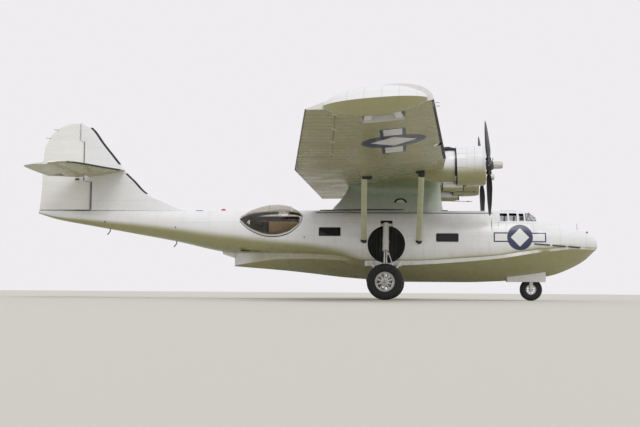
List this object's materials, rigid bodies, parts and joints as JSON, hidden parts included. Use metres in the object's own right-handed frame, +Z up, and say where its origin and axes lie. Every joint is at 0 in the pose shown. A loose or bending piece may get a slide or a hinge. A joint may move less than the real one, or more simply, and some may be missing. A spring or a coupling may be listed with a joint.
{
  "type": "twin-engined amphibious flying boat",
  "caption": "High-wing amphibious flying boat on wheels: stepped hull, pylon wing, radial engines, waist blisters, retracting tip floats.",
  "frame": {"origin": "on the floor, midway along the length, on the middle plane", "axes": "+X forward along the hull, +Y to port, +Z up"},
  "size_m": [19.4598, 31.7, 6.16],
  "materials": {
    "white_paint": "gloss white paint over riveted aluminium sheet",
    "fabric": "white doped fabric over ribs",
    "clear_plastic": "clear acrylic sheet",
    "gear_steel": "satin steel",
    "wheel_alloy": "cast light alloy, satin",
    "blade_metal": "matt black paint on alloy blades",
    "engine": "dark oily castings",
    "tyre": "black rubber",
    "leather": "brown leather",
    "panel": "matt black"
  },
  "bodies": {
    "airframe": {"hull_bow": "white_paint", "hull_cockpit": "white_paint", "hull_centre": "white_paint", "hull_waist": "white_paint", "hull_tail": "white_paint", "fin": "white_paint", "tailplane_l": "white_paint", "tailplane_r": "white_paint", "pylon": "white_paint", "wing_centre": "white_paint", "wing_outer_l": "white_paint", "wing_outer_r": "white_paint", "strut_front_l": "white_paint", "strut_front_r": "white_paint", "strut_rear_l": "white_paint", "strut_rear_r": "white_paint", "nacelle_l": "white_paint", "nacelle_r": "white_paint", "cowling_l": "white_paint", "cowling_r": "white_paint", "nose_door_l": "white_paint", "nose_door_r": "white_paint", "wing_centre_trailing": "fabric", "wing_trailing_l": "fabric", "wing_trailing_r": "fabric", "blister_l": "clear_plastic", "blister_r": "clear_plastic", "canopy_glass": "clear_plastic", "main_leg_l": "gear_steel", "main_leg_r": "gear_steel", "nose_leg": "gear_steel", "engine_l": "engine", "engine_r": "engine", "seat_l": "leather", "seat_r": "leather", "instrument_panel": "panel", "cockpit_floor": "panel"},
    "rudder": {"rudder": "fabric"},
    "elevator_l": {"elevator_l": "fabric"},
    "elevator_r": {"elevator_r": "fabric"},
    "aileron_l": {"aileron_l": "fabric"},
    "aileron_r": {"aileron_r": "fabric"},
    "float_l": {"float_l": "white_paint"},
    "float_r": {"float_r": "white_paint"},
    "propeller_l": {"propeller_l": "blade_metal"},
    "propeller_r": {"propeller_r": "blade_metal"},
    "wheel_l": {"main_wheel_l": "wheel_alloy", "main_tyre_l": "tyre"},
    "wheel_r": {"main_wheel_r": "wheel_alloy", "main_tyre_r": "tyre"},
    "nose_fork": {"nose_fork": "gear_steel"},
    "nose_wheel": {"nose_wheel": "wheel_alloy", "nose_tyre": "tyre"},
    "roof_hatch": {"roof_hatch": "white_paint"}
  },
  "joints": [
    {"name": "propeller_l_spin", "type": "hinge", "parent": "airframe", "child": "propeller_l", "pos_m": [5.92, 2.353, 4.435], "axis": [0.999, 0, 0.0436], "continuous": true},
    {"name": "propeller_r_spin", "type": "hinge", "parent": "airframe", "child": "propeller_r", "pos_m": [5.92, -2.353, 4.435], "axis": [0.999, 0, 0.0436], "continuous": true},
    {"name": "wheel_l_roll", "type": "hinge", "parent": "airframe", "child": "wheel_l", "pos_m": [2.53, 2.55, 0.597], "axis": [0, 1, 0], "continuous": true},
    {"name": "wheel_r_roll", "type": "hinge", "parent": "airframe", "child": "wheel_r", "pos_m": [2.53, -2.55, 0.597], "axis": [0, 1, 0], "continuous": true},
    {"name": "nose_steer", "type": "hinge", "parent": "airframe", "child": "nose_fork", "pos_m": [7.48, 0, 0.9], "axis": [0, 0, 1], "range_deg": [-30, 30]},
    {"name": "nose_wheel_roll", "type": "hinge", "parent": "nose_fork", "child": "nose_wheel", "pos_m": [7.48, 0, 0.381], "axis": [0, 1, 0], "continuous": true},
    {"name": "rudder_turn", "type": "hinge", "parent": "airframe", "child": "rudder", "pos_m": [-8.31, 0, 4.4], "axis": [0, 0, 1], "range_deg": [-28, 28]},
    {"name": "elevator_l_turn", "type": "hinge", "parent": "airframe", "child": "elevator_l", "pos_m": [-8.26, 2, 4.308], "axis": [0, 1, 0], "range_deg": [-20, 28]},
    {"name": "elevator_r_turn", "type": "hinge", "parent": "airframe", "child": "elevator_r", "pos_m": [-8.26, -2, 4.308], "axis": [0, 1, 0], "range_deg": [-20, 28]},
    {"name": "aileron_l_turn", "type": "hinge", "parent": "airframe", "child": "aileron_l", "pos_m": [1.05234, 8.6, 4.27948], "axis": [0.0759, 0.9948, 0.0679], "range_deg": [-18, 18]},
    {"name": "aileron_r_turn", "type": "hinge", "parent": "airframe", "child": "aileron_r", "pos_m": [1.05234, -8.6, 4.27948], "axis": [-0.0759, 0.9948, -0.0679], "range_deg": [-18, 18]},
    {"name": "float_l_lower", "type": "hinge", "parent": "airframe", "child": "float_l", "pos_m": [2.73, 13.35, 4.60195], "axis": [-0.9967, 0, -0.0807], "range_deg": [0, 90]},
    {"name": "float_r_lower", "type": "hinge", "parent": "airframe", "child": "float_r", "pos_m": [2.73, -13.35, 4.60195], "axis": [0.9967, 0, 0.0807], "range_deg": [0, 90]},
    {"name": "roof_hatch_open", "type": "hinge", "parent": "airframe", "child": "roof_hatch", "pos_m": [6.474, 0, 3.095], "axis": [0, -1, 0], "range_deg": [0, 100]}
  ],
  "couplings": [
    {"joint": "elevator_r_turn", "follows": "elevator_l_turn", "ratio": 1},
    {"joint": "aileron_r_turn", "follows": "aileron_l_turn", "ratio": -1},
    {"joint": "float_r_lower", "follows": "float_l_lower", "ratio": 1}
  ]
}
